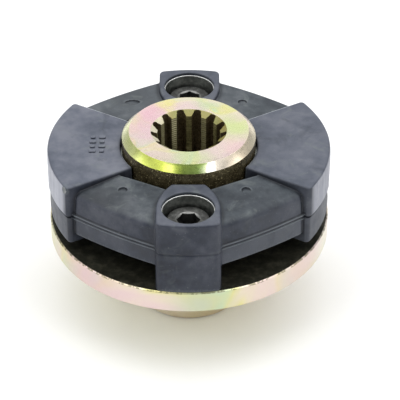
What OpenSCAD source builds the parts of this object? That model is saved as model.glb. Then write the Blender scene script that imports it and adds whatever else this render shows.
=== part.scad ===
/* [Flange hub] */
// Diameter of the flange disk
flange_d = 85; // [84.6:0.1:90]
// Thickness of the flange disk
flange_t = 7; // [6:0.5:10]
// Diameter of the lower hub
lower_hub_d = 33.4; // [31:0.2:36]
// Length of the lower hub below the flange disk
lower_hub_l = 23.5; // [18:0.5:40]
// Diameter of the lower keyed bore
bore_d = 19; // [16:0.5:20]
// Width of the keyway in the lower bore
key_w = 6; // [5:0.5:6]
// Depth of the keyway beyond the bore wall
key_h = 2.8; // [2:0.1:2.8]
// Height of the set screw axis above the lower end face
set_z = 10; // [7:0.5:16]

/* [Splined hub] */
// Diameter of the splined hub
hub_d = 40.2; // [39:0.1:40.2]
// Height of the splined hub's top face above the flange
hub_top = 28.7; // [26:0.1:34]
// Gap between the splined hub and the flange
hub_gap = 2; // [1:0.5:3]
// Width of the top chamfer, measured across the face
hub_chamfer = 2.1; // [1:0.1:2.6]
// Number of spline grooves
teeth = 13; // [12:1:15]
// Radius over the tips of the teeth
minor_r = 9.525; // [9.4:0.025:9.7]
// Radius to the bottom of the grooves
major_r = 11.38; // [11.2:0.02:11.5]

/* [Rubber element] */
// Outer diameter over the two large blocks
element_d = 85.6; // [84:0.1:86]
// Height of the top faces above the flange
element_top = 23.6; // [23.3:0.1:25]
// Height of the mould parting line above the flange
parting_z = 13.2; // [13:0.1:13.6]
// Underside of the large blocks above the flange
block_low = 3.5; // [3:0.1:4]
// Top of the four pads above the flange, at their inner edge
pad_top = 22.5; // [21:0.1:23]
// Underside of the four pads above the flange
pad_low = 6.9; // [6:0.1:8]
// Width of the two bolt bosses
boss_w = 18.8; // [18.4:0.1:20]
// Radius of the outer face of the bolt bosses
boss_r = 42.1; // [41.8:0.1:42.3]

/* [Inserts and screws] */
// Radius of the bolt circle
bolt_r = 32.5; // [32.2:0.1:32.6]
// Height of the axial inserts
axial_insert_h = 22.6; // [22:0.1:22.9]
// Height of the screw seats above the flange
seat_h = 11.5; // [10:0.1:12]
// Diameter of the screw heads
head_d = 13; // [12:0.5:13.5]
// Height of the screw heads
head_h = 8; // [7:0.5:8.5]
// Diameter of the screw shanks
shank_d = 8; // [6:1:8]
// Length of the axial screws' shanks
shank_l = 18; // [14:0.5:18]
// Length of the radial screws' shanks
radial_shank_l = 14; // [12:0.5:14]
// Width across flats of the hexagon sockets
hex_w = 6; // [5:0.5:6]

/* [Hidden] */
fn = 96;
zf = lower_hub_l + flange_t;      // top face of the flange
z_mid = zf + parting_z;           // parting plane, also the height of the radial screws
hub_r = hub_d / 2;
clear = 0.05;                     // radial clearance of screws in their tapped holes
axial_insert_d = 16.2;
axial_counterbore_d = 15;
radial_insert_d = 16.4;
radial_counterbore_d = 14;
radial_seat = 27.5;               // radius at which the radial heads seat
radial_insert_end = 41.0;         // outer end of the radial inserts
hole_d = 8.6;                     // clearance hole of the screws
block_inner = [17.4, 12.7];       // inner corner of a large block
block_outer = [35.5, 23.49];       // outer corner of a large block
wide = 1.2;                       // the right block reaches this much further back than the left one
pad_angle = 58.5;                   // direction of the middle of a pad
pad_arc = 150;                     // radius of the flattish outer wall of a pad
pad_mid = 38;                   // distance from the axis to the middle of that wall
pad_lean = 0.6;                   // how far the wall leans in towards the top
chord_angle = 61.5;               // direction of a pad's straight inner edge
chord_d = 22.2;                   // its distance from the axis
bead = 0.4;                       // how far the bead on the parting line stands out
pad_slope = 0.08;                 // how far the top of a front pad drops for each millimetre outwards
rear_lean = 0.1;                  // the same two measures on the rear pads
rear_slope = 0.05;
gate = [17, 23];                  // place of the small moulding dimples

// ---- involute spline, 30 degree pressure angle ----
pitch_r = 10.319;
base_r = pitch_r * cos(30);
function inv(a) = tan(a) * 180 / PI - a;
function half_space(r) = 90 / teeth + inv(30) - inv(acos(base_r / r));
flank_end = 10.6;
flank_steps = 4;
cap_steps = 8;
cone_h = 1.35;                     // depth of the lead-in cones at the ends of the bore
function full(v) = sign(v) * pow(abs(v), 0.7);     // makes the rounded bottom of a groove squarer
// one groove, from its right flank over the rounded bottom to its left flank
function groove(a0) = concat(
    [for (i = [0:flank_steps]) let (r = minor_r - 0.2 + (flank_end - minor_r + 0.2) * i / flank_steps,
        a = a0 - half_space(max(r, minor_r))) [r * cos(a), r * sin(a)]],
    [for (i = [1:cap_steps - 1]) let (t = -90 + 180 * i / cap_steps,
        r = flank_end + (major_r - flank_end) * full(cos(t)), a = a0 + half_space(flank_end) * full(sin(t))) [r * cos(a), r * sin(a)]],
    [for (i = [flank_steps:-1:0]) let (r = minor_r - 0.2 + (flank_end - minor_r + 0.2) * i / flank_steps,
        a = a0 + half_space(max(r, minor_r))) [r * cos(a), r * sin(a)]]);

module spline_cut(h) {
    cylinder(r = minor_r, h = h, $fn = fn);
    linear_extrude(height = h)
        for (i = [0:teeth - 1]) polygon(groove(270 + 360 * i / teeth));
}

// ---- flanged hub: the lower hub and the flange are turned as one piece ----
module flange_hub() {
    r = lower_hub_d / 2;
    rb = bore_d / 2;
    c = 0.8;
    e = 0.4;
    f = 1.5;
    color([0.86, 0.80, 0.66]) difference() {
        rotate_extrude($fn = fn) polygon(concat(
            [[0, 0], [r - c, 0], [r, c], [r, lower_hub_l - f]],
            [for (a = [15:15:90]) [r + f - f * cos(a), lower_hub_l - f + f * sin(a)]],
            [[flange_d / 2 - e, lower_hub_l], [flange_d / 2, lower_hub_l + e], [flange_d / 2, zf - e],
             [flange_d / 2 - e, zf], [0, zf]]));
        translate([0, 0, -1]) cylinder(r = rb, h = zf + 2, $fn = fn);
        translate([0, 0, -0.01]) cylinder(r1 = rb + c, r2 = rb, h = 0.81, $fn = fn);
        translate([0, 0, zf - 0.8]) cylinder(r1 = rb, r2 = rb + 0.81, h = 0.81, $fn = fn);
        translate([-key_w / 2, 0, -1]) cube([key_w, rb + key_h, zf + 2]);
        for (s = [-1, 1]) translate([0, s * bolt_r, lower_hub_l - 1])
            cylinder(d = shank_d + 2 * clear, h = flange_t + 2, $fn = fn);
        translate([0, rb, set_z]) rotate([-90, 0, 0])
            cylinder(d = 6 + 2 * clear, h = lower_hub_d, $fn = fn);
    }
}

// ---- upper hub with the internal spline ----
module splined_hub() {
    h = hub_top - hub_gap;
    color([0.84, 0.80, 0.58]) difference() {
        translate([0, 0, zf + hub_gap]) rotate_extrude($fn = fn)
            polygon([[0, 0], [hub_r - 1, 0], [hub_r, 1], [hub_r, h - hub_chamfer],
                     [hub_r - hub_chamfer, h], [0, h]]);
        translate([0, 0, zf + hub_gap - 1]) spline_cut(h + 2);
        translate([0, 0, zf + hub_top - cone_h])
            cylinder(r1 = minor_r, r2 = major_r + 0.07, h = cone_h + 0.001, $fn = fn);
        translate([0, 0, zf + hub_gap - 0.001])
            cylinder(r1 = major_r + 0.07, r2 = minor_r, h = cone_h + 0.001, $fn = fn);
        for (s = [-1, 1]) translate([s * 12.6, 0, z_mid]) rotate([0, s * 90, 0])
            cylinder(d = shank_d + 2 * clear, h = 12, $fn = fn);
    }
}

// ---- moulded rubber ring ----
module block2d(e) {
    intersection() {
        circle(d = element_d, $fn = 180);
        polygon([[block_inner[0] - 4, -block_inner[1] + 2.3], block_inner - [0, 2 * block_inner[1]],
                 [block_outer[0], -block_outer[1]], [60, -block_outer[1] - 14.1], [60, block_outer[1] + e + 14.1],
                 block_outer + [0, e], block_inner + [0, e], [block_inner[0] - 4, block_inner[1] + e - 2.3]]);
    }
}
module boss2d() {
    a = 19.9;
    intersection() {
        circle(r = boss_r, $fn = 180);
        union() {
            translate([-boss_w / 2, -boss_r - 1]) square([boss_w, boss_r + 1 - 33]);
            intersection() {
                translate([boss_w / 2 - a, -33]) circle(r = a, $fn = 128);
                translate([-boss_w / 2 + a, -33]) circle(r = a, $fn = 128);
                translate([-boss_w, -33.01]) square([2 * boss_w, 33.01 - 20.5]);
            }
        }
    }
}
// one pad, in the quadrant between a block and a boss
module pad(lean, slope) {
    c = pad_mid - pad_arc;
    cx = c * cos(pad_angle);
    cy = c * sin(pad_angle);
    low = zf + pad_low;
    lean_z = z_mid + 0.6;
    difference() {
        intersection() {
            union() {
                translate([cx, cy, low]) cylinder(r = pad_arc, h = lean_z - low, $fn = 360);
                translate([cx, cy, lean_z]) cylinder(r1 = pad_arc, r2 = pad_arc - lean, h = zf + pad_top - lean_z, $fn = 360);
                translate([cx, cy, z_mid - bead]) cylinder(r = pad_arc + bead, h = 2 * bead, $fn = 360);
            }
            translate([0, 0, low - 1]) linear_extrude(height = 20)
                polygon([[14, 9], [40, 24], [40, 50], [8.6, 50], [8.6, 33], [3, 30], [3, 17]]);
            rotate(chord_angle) translate([chord_d, -50, low - 1]) cube([60, 100, 20]);
            // the top drops a little outwards
            rotate_extrude($fn = 180) polygon([[0, low - 1], [60, low - 1], [60, zf + pad_top - slope * (60 - 22.2)], [0, zf + pad_top + slope * 22.2]]);
        }
        translate([gate[0], gate[1], zf + pad_top - 0.85]) cylinder(d = 2.4, h = 2, $fn = 32);
    }
}
module rubber_element() {
    color([0.30, 0.32, 0.36]) difference() {
        union() {
            for (m = [0, 1]) mirror([m, 0, 0])
                translate([0, 0, zf + block_low]) linear_extrude(height = element_top - block_low) block2d(m == 0 ? wide : 0);
            for (m = [0, 1]) mirror([0, m, 0])
                translate([0, 0, zf + 0.2]) linear_extrude(height = element_top - 0.2) boss2d();
            for (mx = [0, 1], my = [0, 1]) mirror([mx, 0, 0]) mirror([0, my, 0])
                pad(my == 0 ? rear_lean : pad_lean, my == 0 ? rear_slope : pad_slope);
        }
        // room for the splined hub
        translate([0, 0, zf]) cylinder(r = hub_r + 0.35, h = 40, $fn = 180);
        // seats of the bonded inserts, with a thin lip at the open ends
        for (s = [-1, 1]) translate([0, s * bolt_r, zf - 1]) {
            cylinder(d = axial_insert_d, h = axial_insert_h + 1, $fn = fn);
            cylinder(d = axial_counterbore_d + 0.4, h = 40, $fn = fn);
        }
        for (s = [-1, 1]) translate([0, 0, z_mid]) rotate([0, s * 90, 0]) {
            cylinder(d = radial_insert_d, h = radial_insert_end, $fn = fn);
            cylinder(d = radial_counterbore_d + 0.8, h = 60, $fn = fn);
        }
    }
}

// ---- metal inserts bonded into the rubber ----
module axial_insert() {
    difference() {
        translate([0, 0, zf]) cylinder(d = axial_insert_d, h = axial_insert_h, $fn = fn);
        translate([0, 0, zf - 1]) cylinder(d = hole_d, h = 40, $fn = fn);
        translate([0, 0, zf + seat_h]) cylinder(d = axial_counterbore_d, h = 40, $fn = fn);
        translate([0, 0, zf + axial_insert_h - 0.25]) cylinder(d1 = axial_counterbore_d, d2 = axial_counterbore_d + 0.5, h = 0.26, $fn = fn);
    }
}
module radial_insert() {
    difference() {
        translate([0, 0, z_mid]) rotate([0, 90, 0]) difference() {
            translate([0, 0, hub_r - 5]) cylinder(d = radial_insert_d, h = radial_insert_end - hub_r + 5, $fn = fn);
            cylinder(d = hole_d, h = 60, $fn = fn);
            translate([0, 0, radial_seat]) cylinder(d = radial_counterbore_d, h = 40, $fn = fn);
            translate([0, 0, radial_insert_end - 0.25]) cylinder(d1 = radial_counterbore_d, d2 = radial_counterbore_d + 0.5, h = 0.26, $fn = fn);
        }
        translate([0, 0, zf]) cylinder(r = hub_r + 0.02, h = 40, $fn = 180);
    }
}
module axial_insert_front() { color([0.62, 0.63, 0.62]) translate([0, -bolt_r, 0]) axial_insert(); }
module axial_insert_rear() { color([0.62, 0.63, 0.62]) translate([0, bolt_r, 0]) axial_insert(); }
module radial_insert_left() { color([0.62, 0.63, 0.62]) mirror([1, 0, 0]) radial_insert(); }
module radial_insert_right() { color([0.62, 0.63, 0.62]) radial_insert(); }

// ---- socket head cap screws, head seat at z = 0, shank pointing down ----
module hexagon_cut(depth, w) {
    translate([0, 0, -depth]) cylinder(d = w / cos(30), h = depth + 1, $fn = 6);
}
module cap_screw(turn, l) {
    c = 0.5;
    difference() {
        union() {
            rotate_extrude($fn = fn)
                polygon([[0, 0], [head_d / 2 - 0.2, 0], [head_d / 2, 0.2], [head_d / 2, head_h - c],
                         [head_d / 2 - c, head_h], [0, head_h]]);
            rotate_extrude($fn = fn)
                polygon([[0, 0.5], [shank_d / 2, 0.5], [shank_d / 2, -l + 0.8],
                         [shank_d / 2 - 0.8, -l], [0, -l]]);
        }
        translate([0, 0, head_h]) rotate(turn) hexagon_cut(4, hex_w);
        translate([0, 0, head_h - 0.3]) cylinder(r1 = hex_w / 2, r2 = hex_w / 2 + 0.55, h = 0.301, $fn = fn);
    }
}
module axial_screw_front() { color([0.36, 0.36, 0.36]) translate([0, -bolt_r, zf + seat_h]) cap_screw(0, shank_l); }
module axial_screw_rear() { color([0.36, 0.36, 0.36]) translate([0, bolt_r, zf + seat_h]) cap_screw(30, shank_l); }
module radial_screw_right() { color([0.36, 0.36, 0.36]) translate([radial_seat, 0, z_mid]) rotate([0, 90, 0]) cap_screw(10, radial_shank_l); }
module radial_screw_left() { color([0.36, 0.36, 0.36]) translate([-radial_seat, 0, z_mid]) rotate([0, -90, 0]) cap_screw(20, radial_shank_l); }

// ---- set screw over the keyway ----
module set_screw() {
    l = 4;
    color([0.20, 0.20, 0.20]) translate([0, lower_hub_d / 2 - 0.3, set_z]) rotate([-90, 0, 0]) difference() {
        rotate_extrude($fn = fn)
            polygon([[0, -l], [2.2, -l], [3, -l + 0.8], [3, -0.4], [2.6, 0], [0, 0]]);
        hexagon_cut(2.2, 3);
    }
}

flange_hub();
splined_hub();
rubber_element();
axial_insert_front();
axial_insert_rear();
radial_insert_left();
radial_insert_right();
axial_screw_front();
axial_screw_rear();
radial_screw_left();
radial_screw_right();
set_screw();
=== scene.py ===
import bpy
import math
import numpy as np
from mathutils import Matrix, Vector


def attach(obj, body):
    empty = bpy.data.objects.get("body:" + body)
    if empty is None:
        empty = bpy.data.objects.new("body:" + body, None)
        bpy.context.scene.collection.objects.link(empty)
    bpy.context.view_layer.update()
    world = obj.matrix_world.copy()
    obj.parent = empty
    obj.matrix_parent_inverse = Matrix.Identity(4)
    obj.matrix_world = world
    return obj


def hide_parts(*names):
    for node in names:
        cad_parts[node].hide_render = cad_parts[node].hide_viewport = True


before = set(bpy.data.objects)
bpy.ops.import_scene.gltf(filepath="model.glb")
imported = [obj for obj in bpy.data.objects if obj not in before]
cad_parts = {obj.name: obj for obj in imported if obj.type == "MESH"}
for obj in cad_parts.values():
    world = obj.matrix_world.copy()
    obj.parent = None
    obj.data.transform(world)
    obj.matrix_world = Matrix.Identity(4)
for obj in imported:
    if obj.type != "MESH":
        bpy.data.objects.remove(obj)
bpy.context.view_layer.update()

# ---------------------------------------------------------------- sizes, in millimetres, as in the CAD model
ZF = 30.5            # top face of the flange
HUB_R = 20.1
HUB_TOP = 28.7       # heights from here on are above the flange's top face
PART = 13.2
TOP = 23.6
BOLT_R = 32.5
SEAT_H = 11.5
RADIAL_SEAT = 27.5
RADIAL_END = 41.0
LOW_R = 16.7
LOW_L = 23.5
BORE_R = 9.5
MINOR, MAJOR, FLANK_END, TEETH = 9.525, 11.38, 10.6, 13
CONE_R, CONE_H = 11.45, 1.35


# ---------------------------------------------------------------- mesh helpers
def add_mesh(name, verts, faces, nodes, material, sharp=None, normals=None):
    """verts in millimetres in the row frame; faces as a list of index lists or an integer array."""
    me = bpy.data.meshes.new(name)
    me.from_pydata(np.asarray(verts, float) * 0.001, [], faces if isinstance(faces, list) else faces.tolist())
    me.validate()
    o = bpy.data.objects.new(name, me)
    bpy.context.scene.collection.objects.link(o)
    me.polygons.foreach_set("use_smooth", np.ones(len(me.polygons), bool))
    if sharp is not None:
        me.set_sharp_from_angle(angle=math.radians(sharp))
    me.materials.append(material)
    finish_piece(o, nodes)
    return o


def finish_piece(o, nodes):
    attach(o, "root")
    if nodes:
        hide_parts(*nodes)


def rounded(points, radii, steps=3):
    """A closed or open polyline (r, z) with its corners rounded; radii is one number or one for each point."""
    pts = [np.array(p, float) for p in points]
    n = len(pts)
    if not hasattr(radii, "__len__"):
        radii = [radii] * n
    out = []
    for i in range(n):
        p, r = pts[i], radii[i]
        if r <= 0 or i in (0, n - 1):
            out.append(p)
            continue
        a, b = pts[i - 1] - p, pts[i + 1] - p
        la, lb = np.linalg.norm(a), np.linalg.norm(b)
        a, b = a / la, b / lb
        ang = math.acos(max(-1, min(1, float(a @ b))))
        t = min(r / math.tan(ang / 2), 0.45 * la, 0.45 * lb)
        rr = t * math.tan(ang / 2)
        centre = p + (a + b) / np.linalg.norm(a + b) * (rr / math.sin(ang / 2))
        s, e = p + a * t - centre, p + b * t - centre
        a0 = math.atan2(s[1], s[0])
        d = (math.atan2(e[1], e[0]) - a0 + math.pi) % (2 * math.pi) - math.pi
        for k in range(steps + 1):
            q = a0 + d * k / steps
            out.append(centre + rr * np.array([math.cos(q), math.sin(q)]))
    return out


def ring_stack(R, Z, theta, closed):
    """Vertices and faces of a stack of rings. R and Z are (rings, samples). A closed stack joins its last ring to its
    first; an open one ends in a fan round a point on the axis at each end."""
    m, n = R.shape
    x, y = R * np.cos(theta), R * np.sin(theta)
    verts = np.stack([x, y, Z], -1).reshape(-1, 3)
    i = np.arange(m if closed else m - 1)[:, None]
    j = np.arange(n)[None, :]
    i2, j2 = (i + 1) % m, (j + 1) % n
    quads = np.stack([i * n + j, i * n + j2, i2 * n + j2, i2 * n + j], -1).reshape(-1, 4).tolist()
    if not closed:
        verts = list(map(list, verts))
        for ring, flip in ((0, True), (m - 1, False)):
            c = len(verts)
            verts.append([0.0, 0.0, float(Z[ring].mean())])
            for k in range(n):
                a, b = ring * n + k, ring * n + (k + 1) % n
                quads.append([b, a, c] if flip else [a, b, c])
        verts = np.array(verts)
    return np.asarray(verts), quads


def lathe(profile, samples=160, closed=True, theta=None):
    th = np.linspace(0, 2 * math.pi, samples, endpoint=False) if theta is None else theta
    p = np.array(profile, float)
    R = np.repeat(p[:, :1], len(th), 1)
    Z = np.repeat(p[:, 1:2], len(th), 1)
    return ring_stack(R, Z, th, closed)


def fix_normals(o):
    import bmesh
    bm = bmesh.new()
    bm.from_mesh(o.data)
    bmesh.ops.remove_doubles(bm, verts=bm.verts, dist=1e-7)
    bmesh.ops.recalc_face_normals(bm, faces=bm.faces)
    bm.to_mesh(o.data)
    bm.free()


def cutter(name, verts, faces):
    me = bpy.data.meshes.new(name)
    me.from_pydata(np.asarray(verts, float) * 0.001, [], faces)
    o = bpy.data.objects.new(name, me)
    bpy.context.scene.collection.objects.link(o)
    fix_normals(o)
    return o


def cut(o, cutters, sharp):
    for c in cutters:
        mod = o.modifiers.new("cut", "BOOLEAN")
        mod.operation = "DIFFERENCE"
        mod.solver = "EXACT"
        mod.object = c
    dg = bpy.context.evaluated_depsgraph_get()
    me = bpy.data.meshes.new_from_object(o.evaluated_get(dg))
    o.modifiers.clear()
    old = o.data
    o.data = me
    bpy.data.meshes.remove(old)
    for c in cutters:
        bpy.data.objects.remove(c)
    me.polygons.foreach_set("use_smooth", np.ones(len(me.polygons), bool))
    me.set_sharp_from_angle(angle=math.radians(sharp))


def place(verts, origin, axis, turn=0.0):
    """Turns a mesh made about +Z so that +Z points along axis, and moves it to origin."""
    q = Vector((0, 0, 1)).rotation_difference(Vector(axis)).to_matrix()
    m = np.array(q @ Matrix.Rotation(math.radians(turn), 3, "Z"))
    return verts @ m.T + np.array(origin)


# ---------------------------------------------------------------- material helper
class Nodes:
    def __init__(self, name):
        self.m = bpy.data.materials.new(name)
        self.m.use_nodes = True
        self.t = self.m.node_tree
        self.b = self.t.nodes["Principled BSDF"]
        self.co = self.n("ShaderNodeTexCoord").outputs["Object"]

    def n(self, kind, ins=(), **props):
        x = self.t.nodes.new(kind)
        for k, v in props.items():
            setattr(x, k, v)
        for k, v in dict(ins).items():
            self.put(x.inputs[k], v)
        return x

    def put(self, socket, v):
        if isinstance(v, bpy.types.NodeSocket):
            self.t.links.new(v, socket)
        else:
            socket.default_value = v

    def math(self, op, a, b=0.0, clamp=False):
        return self.n("ShaderNodeMath", {0: a, 1: b}, operation=op, use_clamp=clamp).outputs[0]

    def noise(self, scale, detail=2.0, rough=0.5, co=None, warp=0.0):
        return self.n("ShaderNodeTexNoise", {"Vector": co or self.co, "Scale": scale, "Detail": detail, "Roughness": rough,
                                             "Distortion": warp}).outputs[0]

    def band(self, v, lo, hi, a=0.0, b=1.0, smooth=True):
        return self.n("ShaderNodeMapRange", {"Value": v, "From Min": lo, "From Max": hi, "To Min": a, "To Max": b},
                      interpolation_type="SMOOTHSTEP" if smooth else "LINEAR").outputs[0]

    def ramp(self, v, stops):
        r = self.n("ShaderNodeValToRGB", {"Fac": v})
        el = r.color_ramp.elements
        while len(el) > 1:
            el.remove(el[-1])
        el[0].position, el[0].color = stops[0][0], (*stops[0][1], 1)
        for p, c in stops[1:]:
            e = el.new(p)
            e.color = (*c, 1)
        return r.outputs[0]

    def mix(self, f, a, b, mode="MIX"):
        x = self.n("ShaderNodeMix", data_type="RGBA", blend_type=mode)
        for s, v in ((x.inputs[0], f), (x.inputs[6], a), (x.inputs[7], b)):
            if isinstance(v, tuple):
                v = (*v, 1)
            self.put(s, v)
        return x.outputs[2]

    def sep(self, v=None):
        x = self.n("ShaderNodeSeparateXYZ", {0: v or self.co})
        return x.outputs[0], x.outputs[1], x.outputs[2]

    def near(self, p, size, warp=0.0):
        """1 at the point p (millimetres), falling to 0 at the distance size."""
        d = self.n("ShaderNodeVectorMath", {0: self.co, 1: tuple(c * 0.001 for c in p)}, operation="DISTANCE").outputs["Value"]
        if warp:
            d = self.math("ADD", d, self.math("MULTIPLY", self.math("SUBTRACT", self.noise(170 + 5 * abs(p[0]), 3, 0.6), 0.5), 4 * warp))
        return self.band(d, 0.0, size * 0.001, 1.0, 0.0)

    def bump(self, h, strength, distance, normal=None):
        ins = {"Height": h, "Strength": strength, "Distance": distance}
        if normal is not None:
            ins["Normal"] = normal
        return self.n("ShaderNodeBump", ins).outputs[0]

    def radius(self):
        x, y, _ = self.sep()
        return self.math("SQRT", self.math("ADD", self.math("MULTIPLY", x, x), self.math("MULTIPLY", y, y)))


def srgb(r, g, b):
    f = lambda c: (c / 255 / 12.92) if c <= 10 else ((c / 255 + 0.055) / 1.055) ** 2.4
    return (f(r), f(g), f(b))


# ---------------------------------------------------------------- materials
def rubber_material():
    k = Nodes("moulded_rubber")
    big = k.noise(70, 3, 0.55)
    mid = k.noise(330, 4, 0.62)
    fine = k.noise(2600, 2, 0.6)
    x, y, z = k.sep()
    tone = k.math("ADD", k.math("MULTIPLY", big, 0.6), k.math("MULTIPLY", mid, 0.4))
    # the rubber in lit and shaded copies: tops painted lighter and walls painted darker, as painted light from above;
    # the pads' tops painted darker, as painted shade
    wall = k.ramp(tone, [(0.38, (0.011, 0.014, 0.023)), (0.50, (0.025, 0.030, 0.045)), (0.62, (0.052, 0.057, 0.074))])
    top = k.ramp(tone, [(0.38, (0.066, 0.076, 0.102)), (0.50, (0.106, 0.116, 0.148)), (0.62, (0.150, 0.158, 0.190))])
    pad = k.ramp(tone, [(0.38, (0.024, 0.030, 0.038)), (0.50, (0.050, 0.060, 0.070)), (0.62, (0.096, 0.106, 0.118))])
    _, _, nz = k.sep(k.n("ShaderNodeNewGeometry").outputs["Normal"])
    up = k.band(nz, 0.35, 0.96)
    # the right block and the tops of the bosses are a little darker than the left block
    right = k.math("MULTIPLY", k.band(x, 0.010, 0.022), 0.20)
    bosses = k.math("MULTIPLY", k.band(k.math("ABSOLUTE", x), 0.0150, 0.0115), 0.40)
    top = k.mix(k.math("MAXIMUM", right, bosses), top, (0.030, 0.036, 0.046))
    # rear pads painted lighter and the front left pad painted darker: painted shade where the hub keeps the back light
    # off the front pads
    pad = k.mix(k.math("MULTIPLY", k.band(y, 0.005, 0.015), k.band(x, 0.005, -0.005, -0.05, 0.16)), pad, (0.17, 0.18, 0.19))
    pad = k.mix(k.math("MULTIPLY", k.near((-28, -28, 51.5), 17, 0.0015), 0.85), pad, (0.012, 0.015, 0.020))
    # the pads' walls below the bead are paler
    below = k.math("MULTIPLY", k.band(z, 0.0434, 0.0430), k.math("MULTIPLY", k.band(k.radius(), 0.0416, 0.0412), k.band(k.math("ABSOLUTE", x), 0.0094, 0.0102)))
    wall = k.mix(k.math("MULTIPLY", below, k.band(x, -0.01, 0.02, 0.12, 0.32)), wall, (0.12, 0.13, 0.15))
    wall = k.mix(k.math("MULTIPLY", k.band(x, 0.008, 0.022), 0.14), wall, (0.13, 0.14, 0.155))
    # tops against walls by the normal: painted light from above
    base = k.mix(up, wall, k.mix(k.band(z, 0.0530, 0.0538), pad, top))
    # outer walls of the large blocks: lighter above the parting line, in upright streaks: a painted sheen of grazing
    # light
    streak = k.noise(1.0, 3, 0.6, co=k.n("ShaderNodeVectorMath", {0: k.co, 1: (320.0, 320.0, 22.0)}, operation="MULTIPLY").outputs[0])
    out_r = k.band(k.radius(), 0.0412, 0.0418)
    at_side = k.band(k.math("ABSOLUTE", y), 0.0236, 0.0200)
    nx = k.sep(k.n("ShaderNodeNewGeometry").outputs["Normal"])[0]
    at_side = k.math("MULTIPLY", at_side, k.band(k.math("ABSOLUTE", nx), 0.64, 0.78))
    over = k.band(z, 0.04355, 0.04375)
    light = k.math("MULTIPLY", k.math("MULTIPLY", out_r, at_side), k.math("SUBTRACT", 1.0, up))
    light = k.math("MULTIPLY", light, k.band(x, -0.01, 0.01, 1.0, 0.78))
    base = k.mix(k.math("MULTIPLY", light, 0.92), base, k.mix(over, k.ramp(streak, [(0.3, (0.042, 0.048, 0.062)), (0.7, (0.084, 0.092, 0.112))]),
                 k.ramp(streak, [(0.3, (0.29, 0.30, 0.35)), (0.7, (0.43, 0.44, 0.49))])))
    # greenish and greyish smears of release agent, strongest on what faces up
    smear = k.band(k.noise(150, 4, 0.65, warp=0.8), 0.54, 0.70)
    base = k.mix(k.math("MULTIPLY", smear, k.math("ADD", k.math("MULTIPLY", up, 0.26), 0.12)), base, (0.150, 0.170, 0.165))
    dark = k.band(k.noise(95, 4, 0.65, warp=0.9), 0.54, 0.68)
    base = k.mix(k.math("MULTIPLY", dark, k.math("SUBTRACT", 0.42, k.math("MULTIPLY", light, 0.32))), base, (0.034, 0.040, 0.052))
    # the parting line on the blocks' outer walls, darker: painted shade of its groove
    line = k.math("MULTIPLY", k.band(k.math("ABSOLUTE", k.math("SUBTRACT", z, 0.04362)), 0.00052, 0.00030), k.band(k.radius(), 0.0405, 0.0410))
    line = k.math("MULTIPLY", line, k.band(k.math("ABSOLUTE", y), 0.0275, 0.0225, 0.12, 0.85))
    base = k.mix(k.math("MULTIPLY", line, 0.92), base, (0.010, 0.012, 0.015))
    # painted highlight along convex edges
    edge = k.n("ShaderNodeAttribute", attribute_name="edge").outputs["Fac"]
    base = k.mix(k.math("MULTIPLY", k.band(edge, 0.3, 0.95), 0.28), base, (0.15, 0.17, 0.18))
    # the pads' walls: painted shade over the bead and between its fins, and painted highlights on the fins' crests
    on_pad = k.math("MULTIPLY", k.band(k.radius(), 0.0416, 0.0412), k.band(k.radius(), 0.0350, 0.0360))
    on_pad = k.math("MULTIPLY", on_pad, k.band(k.math("ABSOLUTE", x), 0.0094, 0.0102))
    for zc, half, f, c in ((0.04495, 0.00040, 0.80, (0.008, 0.009, 0.014)), (0.04380, 0.00024, 0.65, (0.010, 0.011, 0.016)),
                           (0.04445, 0.00020, 0.35, (0.20, 0.22, 0.25)), (0.04330, 0.00020, 0.35, (0.20, 0.22, 0.25))):
        band = k.band(k.math("ABSOLUTE", k.math("SUBTRACT", z, zc)), half, half * 0.45)
        base = k.mix(k.math("MULTIPLY", k.math("MULTIPLY", on_pad, band), k.band(k.noise(240, 2), 0.35, 0.55, f * 0.6, f)), base, c)
    # the edges at the back of the blocks are painted pale: a painted highlight of the light from behind
    _, ny, _ = k.sep(k.n("ShaderNodeNewGeometry").outputs["Normal"])
    back_edge_highlight = k.math("MULTIPLY", k.math("MULTIPLY", k.band(ny, 0.10, 0.35), k.band(nz, 0.25, 0.5)), k.band(z, 0.0533, 0.0538))
    back_edge_highlight = k.math("MULTIPLY", back_edge_highlight, k.band(k.math("ABSOLUTE", x), 0.0155, 0.0175))
    base = k.mix(k.math("MULTIPLY", back_edge_highlight, k.band(k.noise(260, 2), 0.3, 0.5, 0.45, 0.9)), base, (0.46, 0.49, 0.52))
    # fine pale specks of dust
    speck = k.band(k.noise(1500, 2, 0.7), 0.67, 0.73)
    base = k.mix(k.math("MULTIPLY", speck, 0.22), base, (0.24, 0.26, 0.27))
    # painted shade in creases and inner corners
    crease = k.n("ShaderNodeAttribute", attribute_name="crease").outputs["Fac"]
    base = k.mix(k.math("MULTIPLY", k.band(crease, 0.08, 0.9, smooth=False), 0.85), base, (0.012, 0.014, 0.019))
    nick = k.n("ShaderNodeAttribute", attribute_name="nick").outputs["Fac"]
    base = k.mix(nick, base, (0.85, 0.88, 0.86))
    k.put(k.b.inputs["Base Color"], base)
    k.put(k.b.inputs["Roughness"], k.math("MAXIMUM", k.band(mid, 0.3, 0.7, 0.40, 0.60, False), line))
    k.put(k.b.inputs["Specular IOR Level"], k.math("SUBTRACT", 0.36, k.math("MULTIPLY", line, 0.32)))
    n1 = k.bump(fine, 0.25, 0.00004)
    n2 = k.bump(mid, 0.35, 0.0002, n1)
    k.put(k.b.inputs["Normal"], k.bump(big, 0.3, 0.0006, n2))
    return k.m


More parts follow.
